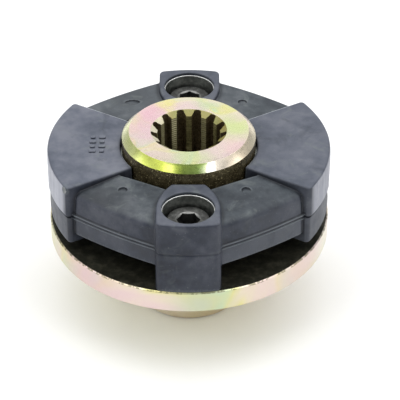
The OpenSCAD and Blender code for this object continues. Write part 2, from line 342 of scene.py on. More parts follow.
def zinc_material(name, colour, rough=(0.24, 0.42), turned=True, metallic=1.0, grain=0.25, film=None):
    """Zinc-plated steel with a chromate film: pastel fields of colour over a bright metal. colour(k) gives its base colour."""
    k = Nodes(name)
    k.put(k.b.inputs["Base Color"], colour(k))
    k.put(k.b.inputs["Metallic"], film(k) if film else metallic)
    spots = k.noise(900, 4, 0.7)
    k.put(k.b.inputs["Roughness"], k.band(spots, 0.3, 0.7, rough[0], rough[1], False))
    h = k.noise(3500, 2, 0.6)
    n = k.bump(h, grain, 0.00003)
    if turned:
        r = k.radius()
        _, _, z = k.sep()
        _, _, nz = k.sep(k.n("ShaderNodeNewGeometry").outputs["Normal"])
        flat = k.math("GREATER_THAN", k.math("ABSOLUTE", nz), 0.9)
        w = k.n("ShaderNodeMix", {0: flat, 2: z, 3: r}, data_type="FLOAT").outputs[0]
        lines = k.n("ShaderNodeTexNoise", {"W": w, "Scale": 5200.0, "Detail": 2.0}, noise_dimensions="1D").outputs[0]
        n = k.bump(lines, turned * 0.16, 0.00003, n)
    k.put(k.b.inputs["Normal"], n)
    return k.m


PINK, CREAM, GREEN, YELLOW = (0.86, 0.66, 0.70), (0.88, 0.80, 0.62), (0.70, 0.83, 0.52), (0.86, 0.82, 0.38)


def pastel(k, scale, shift=0.0, warp=1.2):
    v = k.math("ADD", k.noise(scale, 2.5, 0.5, warp=warp), shift)
    return k.ramp(v, [(0.30, PINK), (0.42, (0.88, 0.74, 0.68)), (0.50, CREAM), (0.57, YELLOW), (0.64, GREEN), (0.74, (0.86, 0.80, 0.72))])


def hub_colour(k):
    x, y, z = k.sep()
    r = k.radius()
    face = pastel(k, 75)
    # broad fields on the face: pink on the left, green on the right, yellow at the back left
    warp = k.math("MULTIPLY", k.math("SUBTRACT", k.noise(90, 2, 0.5), 0.5), 0.010)
    xw = k.math("ADD", x, warp)
    for p, size, f, c in (((-13, 0, 59.2), 15, 0.9, (0.88, 0.63, 0.70)), ((-11.8, 9.9, 59.2), 10, 0.85, (0.90, 0.58, 0.66)), ((0, 15.4, 59.2), 8, 0.7, (0.88, 0.76, 0.68)),
                          ((-5.8, 13.9, 59.2), 4.6, 0.9, (0.93, 0.85, 0.36)), ((5.5, 13.7, 59.2), 5.5, 0.8, (0.66, 0.78, 0.48)), ((13.5, 1.5, 59.2), 11, 0.9, (0.73, 0.84, 0.40)),
                          ((13.6, -9, 59.2), 7, 0.9, (0.92, 0.69, 0.68)), ((8.7, -15.6, 59.2), 6, 0.7, (0.86, 0.74, 0.68)), ((0.5, -14, 59.2), 9, 0.9, (0.68, 0.78, 0.46)),
                          ((-8, -13.5, 59.2), 6.5, 0.8, (0.81, 0.71, 0.59))):
        face = k.mix(k.math("MULTIPLY", k.near(p, size, 0.0022), f), face, c)
    # chamfer: yellow-green at the left and in front, pinkish beige at the right: the film's colours with painted
    # reflections of the lamps, bright at the far left and just right of the front, darker in front
    ch = k.ramp(k.band(k.math("ADD", x, warp), -0.020, 0.020, smooth=False),
                [(0.0, (0.98, 0.98, 0.62)), (0.06, (0.96, 1.0, 0.48)), (0.16, (0.52, 0.58, 0.13)), (0.28, (0.33, 0.37, 0.06)), (0.36, (0.52, 0.55, 0.14)),
                 (0.42, (0.34, 0.42, 0.07)), (0.47, (0.25, 0.33, 0.07)), (0.58, (0.26, 0.36, 0.10)), (0.635, (0.50, 0.54, 0.34)), (0.66, (0.88, 0.90, 0.80)),
                 (0.70, (0.74, 0.72, 0.64)), (0.745, (0.40, 0.36, 0.30)), (0.81, (0.46, 0.41, 0.34)), (0.90, (0.94, 0.80, 0.60)), (1.0, (1.0, 0.90, 0.68))])
    backwards = k.band(y, 0.002, 0.012)
    ch = k.mix(backwards, ch, (0.88, 0.76, 0.70))
    # painted dark reflection along the inner edge of the front chamfer
    inner = k.math("MULTIPLY", k.band(r, 0.01845, 0.01830), k.band(k.math("ABSOLUTE", k.math("ADD", x, 0.0005)), 0.0075, 0.0050))
    ch = k.mix(k.math("MULTIPLY", k.math("MULTIPLY", inner, k.math("LESS_THAN", y, 0.0)), 0.6), ch, (0.16, 0.20, 0.06))
    face = k.mix(1.0, face, (1.10, 1.08, 1.06), "MULTIPLY")
    on_ch = k.math("MULTIPLY", k.math("GREATER_THAN", r, 0.01797), k.math("GREATER_THAN", z, 0.0571))
    out = k.mix(on_ch, face, ch)
    # turned side, darker and browner, with a rough film
    side = k.ramp(k.noise(520, 4, 0.7), [(0.30, (0.055, 0.042, 0.022)), (0.50, (0.13, 0.105, 0.052)), (0.70, (0.22, 0.18, 0.10))])
    side = k.mix(k.band(k.noise(1900, 2, 0.7), 0.60, 0.68), side, (0.80, 0.68, 0.38))
    on_side = k.math("MULTIPLY", k.math("GREATER_THAN", r, 0.0190), k.math("LESS_THAN", z, 0.0571))
    out = k.mix(on_side, out, side)
    # bore: olive and yellow, with painted shade in the grooves, and faint marks across the lands
    marks = k.n("ShaderNodeTexNoise", {"W": z, "Scale": 1500.0, "Detail": 2.0}, noise_dimensions="1D").outputs[0]
    tone = k.math("ADD", k.math("MULTIPLY", k.noise(420, 3, 0.6), 0.7), k.math("MULTIPLY", marks, 0.3))
    bore = k.ramp(tone, [(0.36, (0.080, 0.070, 0.028)), (0.5, (0.155, 0.137, 0.058)), (0.64, (0.28, 0.25, 0.115))])
    # broaching chatter on one land, fainter on two more
    wave = k.n("ShaderNodeTexWave", {"Vector": k.co, "Scale": 430.0, "Distortion": 1.2, "Detail": 1.0}, bands_direction="Z").outputs["Fac"]
    for p, f in (((-4.4, 8.45, 53.5), 1.0), ((-7.9, 5.3, 54.0), 0.4), ((4.4, 8.45, 52.0), 0.3)):
        land = k.band(k.math("ABSOLUTE", k.math("SUBTRACT", x, p[0] * 0.001)), 0.0014, 0.0010)
        chatter = k.math("MULTIPLY", k.math("MULTIPLY", land, k.math("GREATER_THAN", y, 0.004)), k.math("MULTIPLY", k.near(p, 13), f))
        bore = k.mix(chatter, bore, k.mix(wave, (0.24, 0.20, 0.08), (1.0, 0.94, 0.60)))
    # painted shade in the grooves
    groove = k.band(r, 0.00957, 0.00975)
    bore = k.mix(k.math("MULTIPLY", groove, 0.92), bore, k.ramp(tone, [(0.38, (0.040, 0.026, 0.014)), (0.62, (0.085, 0.060, 0.030))]))
    _, _, nz = k.sep(k.n("ShaderNodeNewGeometry").outputs["Normal"])
    cone = k.math("MULTIPLY", k.math("GREATER_THAN", nz, 0.45), k.math("GREATER_THAN", z, 0.0578))
    lead = k.mix(k.band(k.noise(240, 2), 0.35, 0.65), (0.28, 0.24, 0.07), (0.26, 0.25, 0.08))
    lead = k.mix(k.band(x, -0.005, -0.0095), lead, (0.70, 0.64, 0.48))
    inside = k.math("LESS_THAN", r, 0.01144)
    return k.mix(k.math("MULTIPLY", inside, cone), k.mix(inside, out, bore), lead)


def hub_film(k):
    """Less metallic in the bore and on the side, where the film is thick and dull."""
    x, y, z = k.sep()
    r = k.radius()
    bore = k.math("LESS_THAN", r, 0.01144)
    side = k.math("MULTIPLY", k.math("GREATER_THAN", r, 0.0190), k.math("LESS_THAN", z, 0.0571))
    return k.math("SUBTRACT", 1.0, k.math("ADD", k.math("MULTIPLY", bore, 0.75), k.math("MULTIPLY", side, 0.3)))


def flange_film(k):
    _, _, z = k.sep()
    top = k.math("MULTIPLY", k.math("GREATER_THAN", z, 0.03047), k.math("LESS_THAN", k.radius(), 0.0422))
    return k.math("SUBTRACT", 1.0, k.math("MULTIPLY", top, 0.45))


def flange_colour(k):
    x, y, z = k.sep()
    r = k.radius()
    rim = k.mix(0.9, pastel(k, 42, 0.0, 0.8), (0.78, 0.75, 0.74), "MULTIPLY")
    rim = k.mix(k.math("MULTIPLY", k.near((-30, -30, 27), 20), 0.85), rim, (0.66, 0.48, 0.52))
    rim = k.mix(k.math("MULTIPLY", k.near((4, -43, 26), 14), 0.8), rim, (0.47, 0.53, 0.38))
    rim = k.mix(k.math("MULTIPLY", k.near((32, -28, 27), 20), 0.8), rim, (0.70, 0.55, 0.55))
    rim = k.mix(k.math("MULTIPLY", k.near((-41, -11, 27), 13), 0.75), rim, (0.64, 0.62, 0.47))
    rim = k.mix(k.math("MULTIPLY", k.near((41, -12, 27), 13), 0.85), rim, (0.78, 0.74, 0.66))
    # top face under the rubber ring: painted near-black, painted shade and dark reflection of the ring's underside
    top = k.ramp(k.noise(330, 4, 0.65), [(0.30, (0.016, 0.016, 0.010)), (0.50, (0.038, 0.037, 0.026)), (0.66, (0.075, 0.072, 0.050))])
    low = k.ramp(k.noise(130, 3, 0.55), [(0.3, (0.62, 0.50, 0.34)), (0.5, (0.70, 0.60, 0.44)), (0.7, (0.66, 0.60, 0.40))])
    under = pastel(k, 55, 0.03)
    on_top = k.math("MULTIPLY", k.math("GREATER_THAN", z, 0.03047), k.math("LESS_THAN", r, 0.0422))
    burr = k.math("MULTIPLY", k.math("GREATER_THAN", z, 0.03005), k.band(k.noise(420, 4, 0.75), 0.49, 0.55))
    rim = k.mix(k.math("MULTIPLY", burr, 0.75), rim, (0.16, 0.15, 0.08))
    # painted highlight on the front left of the lower hub
    low = k.mix(k.math("MULTIPLY", k.near((-10, -14, 12), 18), 0.95), low, (0.96, 0.93, 0.90))
    out = k.mix(k.math("LESS_THAN", z, 0.0236), rim, under)
    out = k.mix(k.math("LESS_THAN", r, 0.0184), out, low)
    return k.mix(on_top, out, top)


def steel_colour(lo, mid, hi, scale=700):
    def f(k):
        return k.ramp(k.noise(scale, 4, 0.65), [(0.3, lo), (0.5, mid), (0.7, hi)])
    return f


def screw_colour(k):
    """Dark steel, with a painted highlight round the rims of the axial screws' sockets."""
    x, y, z = k.sep()
    out = steel_colour((0.062, 0.062, 0.060), (0.10, 0.10, 0.096), (0.17, 0.17, 0.165))(k)
    d = k.math("SUBTRACT", k.math("ABSOLUTE", y), 0.0325)
    d = k.math("SQRT", k.math("ADD", k.math("MULTIPLY", x, x), k.math("MULTIPLY", d, d)))
    # painted highlight round the socket's rim
    socket_rim_highlight = k.math("MULTIPLY", k.band(k.math("ABSOLUTE", k.math("SUBTRACT", d, 0.0034)), 0.0004, 0.0002), k.band(z, 0.0492, 0.0496))
    return k.mix(k.math("MULTIPLY", socket_rim_highlight, k.band(k.noise(500, 3), 0.3, 0.6, 0.35, 0.8)), out, (0.26, 0.26, 0.25))


def insert_colour(k):
    """Grey steel with a bright end face."""
    _, _, z = k.sep()
    out = steel_colour((0.20, 0.215, 0.20), (0.30, 0.315, 0.295), (0.46, 0.47, 0.44))(k)
    return k.mix(k.math("MULTIPLY", k.band(z, 0.0528, 0.0530), 0.9), out, (0.93, 0.94, 0.92))


RUBBER = rubber_material()
HUB = zinc_material("hub_zinc", hub_colour, (0.22, 0.34), grain=0.04, turned=0.4, film=hub_film)
FLANGE = zinc_material("flange_zinc", flange_colour, (0.28, 0.44), film=flange_film)
INSERT = zinc_material("insert_steel", insert_colour, (0.30, 0.50))
SCREW = zinc_material("screw_steel", screw_colour, (0.32, 0.52), turned=False)
BLACK = zinc_material("black_steel", steel_colour((0.03, 0.03, 0.03), (0.05, 0.05, 0.05), (0.09, 0.09, 0.09)), (0.35, 0.55), turned=False, metallic=0.6)


# ---------------------------------------------------------------- rubber ring, as a distance field that is then meshed
def rmax(a, b, r):
    return np.minimum(-r, np.maximum(a, b)) + np.hypot(np.maximum(a + r, 0), np.maximum(b + r, 0))


def rmin(a, b, r):
    return np.maximum(r, np.minimum(a, b)) - np.hypot(np.maximum(r - a, 0), np.maximum(r - b, 0))


def smooth(v, lo, hi):
    t = np.clip((v - lo) / (hi - lo), 0, 1)
    return t * t * (3 - 2 * t)


def bell(v, c, w):
    return np.exp(-((v - c) / w) ** 2)


PAD_CX, PAD_CY = (38 - 150) * math.cos(math.radians(58.5)), (38 - 150) * math.sin(math.radians(58.5))
CHX, CHY = math.cos(math.radians(61.5)), math.sin(math.radians(61.5))
DIMPLES = [(-19.2, -21.4), (16.9, -21.6), (-17.6, 25.6), (16.5, 25.6)]
NICK = (-36.4, -21.9, 22.2)


def rubber(x, y, z, pockets=True):
    X, Y = np.abs(x), np.abs(y)
    rho = np.hypot(x, y)
    dz = np.abs(z - PART)
    seam = 0.42 * bell(z, PART - 0.05, 0.26)
    rear = y > 0
    # large blocks
    side = -0.5117 * (X - 17.4) + 0.8592 * (Y - 12.7 - 1.2 * ((x > 0) & (y > 0))) + 0.024 * dz
    outer = rho - (42.78 - 0.022 * dz - 0.36 * smooth(PART - z, -0.1, 0.1))
    block = rmax(rmax(side, outer, 1.3), 20.45 - rho, 0.5)
    block = rmax(rmax(block, z - TOP, 0.85), 3.5 - z, 0.5) + seam
    # bolt bosses
    lower = np.where(Y < 33, np.hypot(X + 10.5, Y - 33) - 19.9, X - 9.4) - 0.0065 * (23.6 - z)
    boss = rmax(rmax(lower, rho - (42.4 - np.where(rear, 0.008, 0.034) * z), 1.4), 20.45 - Y, 0.5)
    boss = rmax(rmax(boss, z - TOP, np.where(rear, 0.6, 0.85)), 0.05 - z, 0.4) + seam * 0.4
    # pads
    lean = np.where(rear, 0.1, 0.6) * smooth(z, 12.6, 21.5)
    gap = np.maximum(0, side)
    fin = 0.40 * (bell(z, 13.95, 0.24) + bell(z, 12.80, 0.24)) + 0.10 * bell(z, 13.35, 0.6)
    fin = fin * (1 + 0.8 * np.exp(-(gap / 1.6) ** 2))
    wall = np.hypot(X - PAD_CX, Y - PAD_CY) - 150 + lean + 0.45 * np.exp(-(gap / 0.7) ** 2)
    chord = 22.2 - (X * CHX + Y * CHY)
    pad = rmax(wall - fin, z - (22.5 - np.where(rear, 0.05, 0.08) * (rho - 22.2)), np.where(rear, 1.3, 1.9))
    pad = rmax(rmax(pad, chord, 0.35), 6.9 - z, 0.45)
    pad = np.maximum(np.maximum(pad, -side - 3.0), 3.0 - X)
    ring = rmin(rmin(pad, block, 0.22), boss, 0.45)
    ring = rmax(ring, 20.45 - rho, 0.3)
    # pockets for the inserts, with a lip at the open ends
    if pockets:
        a = np.hypot(X, Y - BOLT_R)
        pocket = np.minimum(np.maximum(a - 8.12, z - 22.6), a - 7.72)
        q = np.hypot(Y, z - PART)
        pocket = np.minimum(pocket, np.maximum(np.minimum(np.maximum(q - 8.22, X - RADIAL_END), q - 7.42), 15 - X))
        ring = rmax(ring, -pocket, 0.28)
    # moulding dimples on the pads: round and tilted, deeper on the side away from the front
    for cx, cy in DIMPLES:
        d = np.hypot((x - cx) / (1.0 if cy < 0 or cx > 0 else 1.7), y - cy)
        floor_z = 22.5 - (0.05 if cy > 0 else 0.08) * (math.hypot(cx, cy) - 22.2) - 0.06 - 0.36 * smooth(y - cy, -1.4, 1.4)
        ring = rmax(ring, -np.maximum(d - 1.3, floor_z - z), 0.06)
    # nick at the front corner of the left block
    d = np.sqrt((x - NICK[0]) ** 2 + (y - NICK[1]) ** 2 + ((z - NICK[2]) / 1.2) ** 2)
    return rmax(ring, 0.8 - d, 0.15)


def levels(marks, step):
    out = [marks[0][0]]
    for (a, _), (b, h) in zip(marks, marks[1:]):
        n = max(1, round((b - a) / (h * step)))
        out += list(np.linspace(a, b, n + 1)[1:])
    return np.array(out)


def surface_nets(F, gx, gy, gz):
    inside = F < 0
    nx, ny, nz = F.shape
    count = np.zeros((nx - 1, ny - 1, nz - 1), np.uint8)
    for a in (0, 1):
        for b in (0, 1):
            for c in (0, 1):
                count += inside[a:nx - 1 + a, b:ny - 1 + b, c:nz - 1 + c]
    active = (count > 0) & (count < 8)
    index = np.full(active.shape, -1, np.int64)
    ci, cj, ck = np.nonzero(active)
    index[ci, cj, ck] = np.arange(len(ci))
    P = np.zeros((len(ci), 3))
    hits = np.zeros(len(ci))
    corners = [(a, b, c) for a in (0, 1) for b in (0, 1) for c in (0, 1)]
    for p in corners:
        for ax in range(3):
            if p[ax]:
                continue
            q = list(p)
            q[ax] = 1
            fa = F[ci + p[0], cj + p[1], ck + p[2]]
            fb = F[ci + q[0], cj + q[1], ck + q[2]]
            m = (fa < 0) != (fb < 0)
            t = fa[m] / (fa[m] - fb[m])
            for d, g, c in ((0, gx, ci), (1, gy, cj), (2, gz, ck)):
                lo, hi = g[c[m] + p[d]], g[c[m] + q[d]]
                P[m, d] += lo + t * (hi - lo)
            hits[m] += 1
    P /= hits[:, None]
    faces = []
    for ax in range(3):
        sl = [slice(None)] * 3
        sl[ax] = slice(0, -1)
        up = [slice(None)] * 3
        up[ax] = slice(1, None)
        lo_in, hi_in = inside[tuple(sl)], inside[tuple(up)]
        change = lo_in != hi_in
        i, j, k = np.nonzero(change)
        idx = [i, j, k]
        others = [d for d in range(3) if d != ax]
        ok = np.ones(len(i), bool)
        for d in others:
            ok &= (idx[d] > 0) & (idx[d] < F.shape[d] - 1)
        idx = [v[ok] for v in idx]
        leaving = lo_in[tuple(idx)]
        u, v = (others if ax != 1 else others[::-1])

        def cell(du, dv):
            w = [a.copy() for a in idx]
            w[u] = w[u] - du
            w[v] = w[v] - dv
            return index[tuple(w)]
        q = np.stack([cell(1, 1), cell(0, 1), cell(0, 0), cell(1, 0)], 1)
        q[~leaving] = q[~leaving][:, ::-1]
        faces.append(q)
    return P, np.concatenate(faces)


def gradient(f, v, h=0.02):
    g = np.empty_like(v)
    for d in range(3):
        e = np.zeros(3)
        e[d] = h
        a, b = v + e, v - e
        g[:, d] = (f(a[:, 0], a[:, 1], a[:, 2]) - f(b[:, 0], b[:, 1], b[:, 2])) / (2 * h)
    return g


def onto_surface(f, v, times=4):
    for _ in range(times):
        d = f(v[:, 0], v[:, 1], v[:, 2])
        g = gradient(f, v)
        n = np.maximum((g * g).sum(1), 0.2)
        step = (d / n)[:, None] * g
        length = np.linalg.norm(step, axis=1, keepdims=True)
        v = v - step * np.minimum(1, 0.25 / np.maximum(length, 1e-9))
    return v


def make_rubber():
    h = 0.34
    s = 1.0
    n = int(86.4 / h) + 1
    g = np.linspace(-43.2, 43.2, n)
    gz = levels([(-0.3, 0), (1.0, 0.2), (3.0, 0.5), (4.3, 0.22), (6.5, 0.5), (7.7, 0.22), (12.0, 0.5), (14.8, 0.13), (19.6, 0.45),
                 (24.2, 0.17)], s)
    F = rubber(g[:, None, None], g[None, :, None], gz[None, None, :]).astype(np.float32)
    v, q = surface_nets(F, g, g, gz)
    v = onto_surface(rubber, v)
    v[:, 2] += ZF
    o = add_mesh("rubber_ring", v, q, ["rubber_element"], RUBBER)
    tri = 2 * len(q)
    want = 185000
    if tri > want:
        mod = o.modifiers.new("fewer", "DECIMATE")
        mod.ratio = want / tri
        dg = bpy.context.evaluated_depsgraph_get()
        me = bpy.data.meshes.new_from_object(o.evaluated_get(dg))
        o.modifiers.clear()
        old = o.data
        o.data = me
        bpy.data.meshes.remove(old)
    me = o.data
    co = np.empty(len(me.vertices) * 3, np.float64)
    co32 = np.empty(len(me.vertices) * 3, np.float32)
    me.vertices.foreach_get("co", co32)
    co = co32.astype(float).reshape(-1, 3) * 1000
    co[:, 2] -= ZF
    co = onto_surface(rubber, co, 2)
    g1 = gradient(rubber, co, 0.03)
    nrm = g1 / np.maximum(np.linalg.norm(g1, axis=1, keepdims=True), 1e-6)
    # how convex each point is: the field a little way inside, compared with a flat face; the material paints
    # highlights where it is high
    depth = 0.7
    p = co - nrm * depth
    edge = np.clip((rubber(p[:, 0], p[:, 1], p[:, 2], False) + depth) / (0.35 * depth), 0, 1)
    # how deep in a crease each point is, for the painted shade there
    p = co + nrm * 0.6
    crease = np.clip((0.6 - rubber(p[:, 0], p[:, 1], p[:, 2])) / 0.27, 0, 1)
    p = co + nrm * 1.7
    crease = np.maximum(crease, 0.6 * np.clip((1.7 - rubber(p[:, 0], p[:, 1], p[:, 2])) / 1.0, 0, 1))
    back = co.copy()
    back[:, 2] += ZF
    me.vertices.foreach_set("co", (back * 0.001).astype(np.float32).ravel())
    me.attributes.new("edge", "FLOAT", "POINT").data.foreach_set("value", edge.astype(np.float32))
    me.attributes.new("crease", "FLOAT", "POINT").data.foreach_set("value", crease.astype(np.float32))
    d = np.linalg.norm((co - np.array(NICK)) / np.array([1, 1, 1.2]), axis=1)
    me.attributes.new("nick", "FLOAT", "POINT").data.foreach_set("value", (1 - smooth(d, 0.62, 0.92)).astype(np.float32))
    me.polygons.foreach_set("use_smooth", np.ones(len(me.polygons), bool))
    me.normals_split_custom_set_from_vertices(nrm.astype(np.float32))
    me.update()
    return o


def make_bars():
    """A small group of plain raised bars on the left block."""
    verts, faces = [], []
    for row, bx in ((0, -28.9), (1, -26.1)):
        for c in range(4):
            by = 3.4 - 2.45 * c
            hx = 1.0 if (row + c) % 2 else 0.7
            hy = 0.55
            base = len(verts)
            for inset, z in ((0.0, -0.15), (0.0, 0.30), (0.05, 0.39), (0.16, 0.44)):
                for a in range(16):
                    q = math.radians(22.5 * a + 11.25)
                    ux, uy = math.cos(q), math.sin(q)
                    rr = 0.26
                    verts.append((bx + math.copysign(hx - rr, ux) + (rr - inset) * ux, by + math.copysign(hy - rr, uy) + (rr - inset) * uy, ZF + TOP + z))
            for lv in range(3):
                for a in range(16):
                    i, j = base + 16 * lv + a, base + 16 * lv + (a + 1) % 16
                    faces.append([i, j, j + 16, i + 16])
            faces.append([base + 48 + a for a in range(16)])
            faces.append([base + a for a in range(15, -1, -1)])
    o = add_mesh("moulded_bars", verts, faces, None, RUBBER, 35)
    fix_normals(o)
    o.data.set_sharp_from_angle(angle=math.radians(50))
    return o


# ---------------------------------------------------------------- splined hub
def inv(a):
    return math.tan(a) - a


PITCH_R = 10.319
BASE_R = PITCH_R * math.cos(math.radians(30))


def half_space(r):
    return math.pi / 2 / TEETH + inv(math.radians(30)) - inv(math.acos(BASE_R / r))


def spline_samples():
    """Angles and radii once round the splined bore, with points along each flank, round bottom and land."""
    th, rr = [], []
    hl, pitch = half_space(MINOR), 2 * math.pi / TEETH
    for i in range(TEETH):
        c = math.radians(270) + pitch * i
        land = (pitch - 2 * hl)
        for k in range(1, 5):
            th.append(c - hl - land / 2 + land / 2 * (k - 1) / 4)
            rr.append(MINOR)
        th.append(c - hl - 0.004)
        rr.append(MINOR)
        for k in range(7):
            r = MINOR + 0.06 + (FLANK_END - MINOR - 0.06) * k / 6
            th.append(c - half_space(r))
            rr.append(r)
        for k in range(1, 12):
            t = math.radians(-90 + 15 * k)
            th.append(c + half_space(FLANK_END) * math.copysign(abs(math.sin(t)) ** 0.7, math.sin(t)))
            rr.append(FLANK_END + (MAJOR - FLANK_END) * math.cos(t) ** 0.7)
        for k in range(6, -1, -1):
            r = MINOR + 0.06 + (FLANK_END - MINOR - 0.06) * k / 6
            th.append(c + half_space(r))
            rr.append(r)
        th.append(c + hl + 0.004)
        rr.append(MINOR)
        for k in range(1, 4):
            th.append(c + hl + land / 2 * k / 4)
            rr.append(MINOR)
    return np.array(th), np.array(rr)


def make_hub():
    th, rs = spline_samples()
    low, top = ZF + 2.0, ZF + HUB_TOP
    outer = rounded([(CONE_R, low), (HUB_R - 1, low), (HUB_R, low + 1), (HUB_R, top - 2.1), (HUB_R - 2.1, top), (CONE_R, top)],
                    [0, 0.15, 0.15, 0.14, 0.14, 0], 3)
    rows = []
    for i, (r, z) in enumerate(outer):
        rows.append((np.full(len(th), r), np.full(len(th), z)))
        if i + 1 < len(outer):
            (r2, z2), d = outer[i + 1], math.hypot(outer[i + 1][0] - r, outer[i + 1][1] - z)
            for k in range(1, int(d / 2.5) + 1):
                t = k / (int(d / 2.5) + 1)
                rows.append((np.full(len(th), r + (r2 - r) * t), np.full(len(th), z + (z2 - z) * t)))
    # down the lead-in cone, the bore and the lower cone
    for k in range(1, 9):
        t = k / 8
        cone = CONE_R + (MINOR - CONE_R) * t
        rows.append((np.maximum(rs, cone), np.full(len(th), top - CONE_H * t)))
    for k in range(1, 12):
        rows.append((rs, np.full(len(th), top - CONE_H - (top - low - 2 * CONE_H) * k / 12)))
    for k in range(8, 0, -1):
        t = k / 8
        cone = CONE_R + (MINOR - CONE_R) * t
        rows.append((np.maximum(rs, cone), np.full(len(th), low + CONE_H * t)))
    R = np.array([r for r, _ in rows])
    Z = np.array([z for _, z in rows])
    v, f = ring_stack(R, Z, th, True)
    o = add_mesh("splined_hub_body", v, f, ["splined_hub"], HUB)
    fix_normals(o)
    cs = []
    for s in (-1, 1):
        cv, cf = lathe([(4.05, 12.6), (4.05, 30.0)], 64, False)
        cs.append(cutter("tap", place(cv, (0, 0, ZF + PART), (s, 0, 0)), cf))
    cut(o, cs, 32)
    return o


# ---------------------------------------------------------------- flanged hub
def bore_samples():
    """Angles and radii once round the keyed bore; the keyway points to +Y."""
    th, rr = [], []
    w, d = 3.0, 12.3
    a0, a1 = math.asin(w / BORE_R), math.atan2(w, d)
    for k in range(5):
        r = BORE_R + (d / math.cos(a1) - BORE_R) * k / 4
        th.append(math.pi / 2 - math.asin(w / r))
        rr.append(r)
    for k in range(1, 8):
        a = -a1 + 2 * a1 * k / 8
        th.append(math.pi / 2 + a)
        rr.append(d / math.cos(a))
    for k in range(4, -1, -1):
        r = BORE_R + (d / math.cos(a1) - BORE_R) * k / 4
        th.append(math.pi / 2 + math.asin(w / r))
        rr.append(r)
    n = 150
    for k in range(1, n):
        th.append(math.pi / 2 + a0 + (2 * math.pi - 2 * a0) * k / n)
        rr.append(BORE_R)
    return np.array(th), np.array(rr)


def make_flange():
    th, rs = bore_samples()
    n = len(th)
    c = 0.8
    prof = rounded([(BORE_R + c, 0), (LOW_R - 0.8, 0), (LOW_R, 0.8), (LOW_R, LOW_L), (42.1, LOW_L), (42.5, LOW_L + 0.4), (42.5, ZF - 0.4),
                    (42.1, ZF), (BORE_R + c, ZF)], [0, 0.2, 0.2, 1.5, 0.15, 0.15, 0.15, 0.15, 0], 4)
    rows = []
    for i, (r, z) in enumerate(prof):
        rows.append((np.maximum(np.full(n, r), rs if i in (0, len(prof) - 1) else 0), np.full(n, z)))
        if i + 1 < len(prof):
            r2, z2 = prof[i + 1]
            m = int(math.hypot(r2 - r, z2 - z) / 3.0)
            for k in range(1, m + 1):
                t = k / (m + 1)
                rows.append((np.full(n, r + (r2 - r) * t), np.full(n, z + (z2 - z) * t)))
    for k in range(1, 4):
        rows.append((np.maximum(rs, BORE_R + c * (1 - k / 3)), np.full(n, ZF - c * k / 3)))
    for k in range(1, 8):
        rows.append((rs, np.full(n, ZF - c - (ZF - 2 * c) * k / 8)))
    for k in range(3, 0, -1):
        rows.append((np.maximum(rs, BORE_R + c * (1 - k / 3)), np.full(n, c * k / 3)))
    R = np.array([r for r, _ in rows])
    Z = np.array([z for _, z in rows])
    # more samples round the rim than round the bore would be wasted inside, so the rim keeps the bore's angles
    v, f = ring_stack(R, Z, th, True)
    o = add_mesh("flanged_hub_body", v, f, ["flange_hub"], FLANGE)
    fix_normals(o)
    cs = []
    for s in (-1, 1):
        cv, cf = lathe([(4.05, LOW_L - 2), (4.05, ZF + 2)], 72, False)
        cv = cv + np.array([0, s * BOLT_R, 0])
        cs.append(cutter("tap", cv, cf))
    cv, cf = lathe([(3.05, 10.5), (3.05, 20.0)], 64, False)
    cs.append(cutter("tap", place(cv, (0, 0, 10), (0, 1, 0)), cf))
    cut(o, cs, 32)
    return o


# ---------------------------------------------------------------- inserts
def make_insert(name, node, axial, sign):
    if axial:
        p = rounded([(4.3, 0), (8.1, 0), (8.1, 22.6), (7.5, 22.6), (7.5, SEAT_H), (4.3, SEAT_H), (4.3, 0)], [0, 0.1, 0.12, 0.14, 0.3, 0.15, 0], 3)
        v, f = lathe(p[:-1], 144)
        v = v + np.array([0, sign * BOLT_R, ZF])
    else:
        inner = HUB_R + 0.03
        p = rounded([(4.3, inner), (8.2, inner), (8.2, RADIAL_END), (7.0, RADIAL_END), (7.0, RADIAL_SEAT), (4.3, RADIAL_SEAT), (4.3, inner)],
                    [0, 0, 0.12, 0.14, 0.3, 0.15, 0], 3)
        v, f = lathe(p[:-1], 144)
        v = place(v, (0, 0, 0), (sign, 0, 0))
        end = np.abs(v[:, 0]) < inner + 0.001
        v[end, 0] = sign * np.sqrt(inner ** 2 - v[end, 1] ** 2)
        v = v + np.array([0, 0, ZF + PART])
    o = add_mesh(name, v, f, [node], INSERT)
    fix_normals(o)
    o.data.set_sharp_from_angle(angle=math.radians(35))
    return o


# ---------------------------------------------------------------- screws
def hex_radius(th, w):
    a = th % (math.pi / 3) - math.pi / 6
    return w / 2 / np.cos(a)


def hex_angles(per=8):
    out = []
    for i in range(6):
        c = i * math.pi / 3
        out += list(c + (np.linspace(0, 1, per, endpoint=False)) * math.pi / 3)
    return np.sort(np.array(out) % (2 * math.pi))


